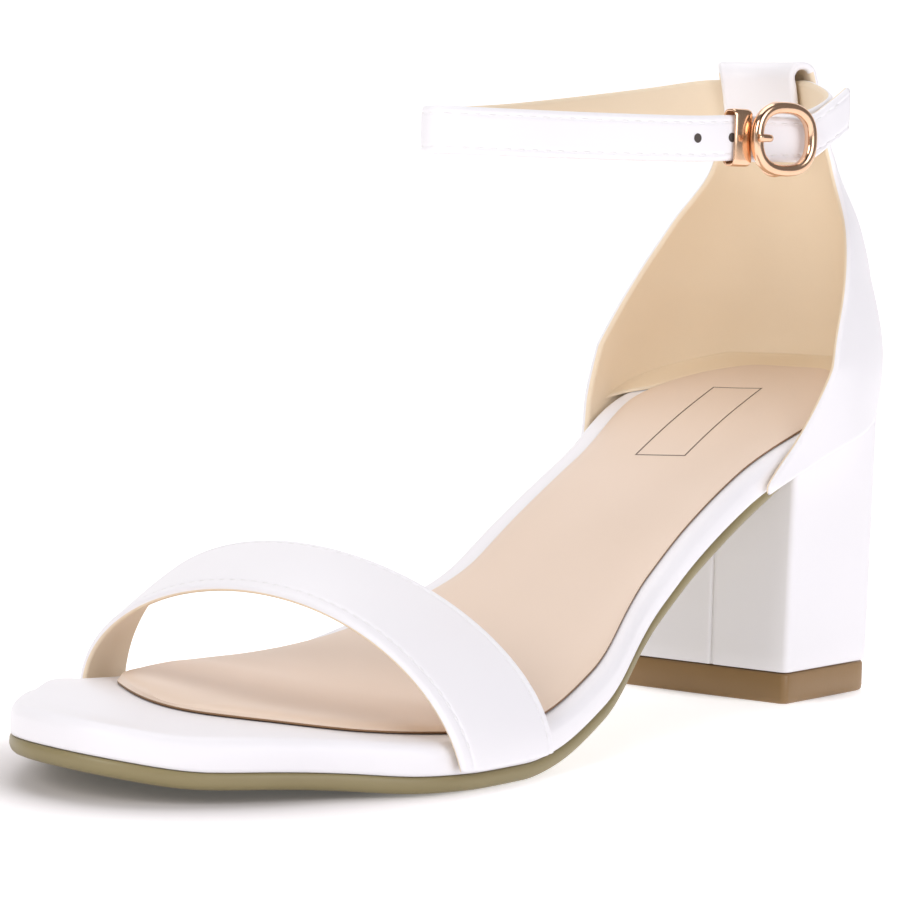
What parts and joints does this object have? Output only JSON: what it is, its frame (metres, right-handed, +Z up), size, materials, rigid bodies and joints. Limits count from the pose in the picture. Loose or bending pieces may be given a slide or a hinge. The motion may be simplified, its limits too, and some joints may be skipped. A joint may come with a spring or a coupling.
{
  "type": "block-heel ankle-strap sandal",
  "caption": "Open-toe sandal with a covered block heel, a thin wrapped sole, a single band over the toes, a closed heel counter and a buckled ankle strap; left shoe.",
  "frame": {"origin": "middle of the bounding box in plan, on the floor the sandal stands on", "axes": "+X towards the outer (lateral) side, +Y from toe to heel, +Z up; millimetres in the source, metres here"},
  "size_m": [0.093, 0.2232, 0.1297],
  "materials": {
    "white_leather": "smooth, soft sheen",
    "insole_leather": "smooth, matt",
    "sole_rubber": "matt",
    "lift_rubber": "matt",
    "gold_metal": "polished, rose gold"
  },
  "bodies": {
    "root": {"outsole": "sole_rubber", "platform": "white_leather", "insole": "insole_leather", "heel_block": "white_leather", "top_lift": "lift_rubber", "toe_strap": "white_leather", "counter": "white_leather", "ankle_strap": "white_leather", "buckle_frame": "gold_metal", "buckle_prong": "gold_metal", "strap_keeper": "gold_metal"}
  },
  "joints": []
}
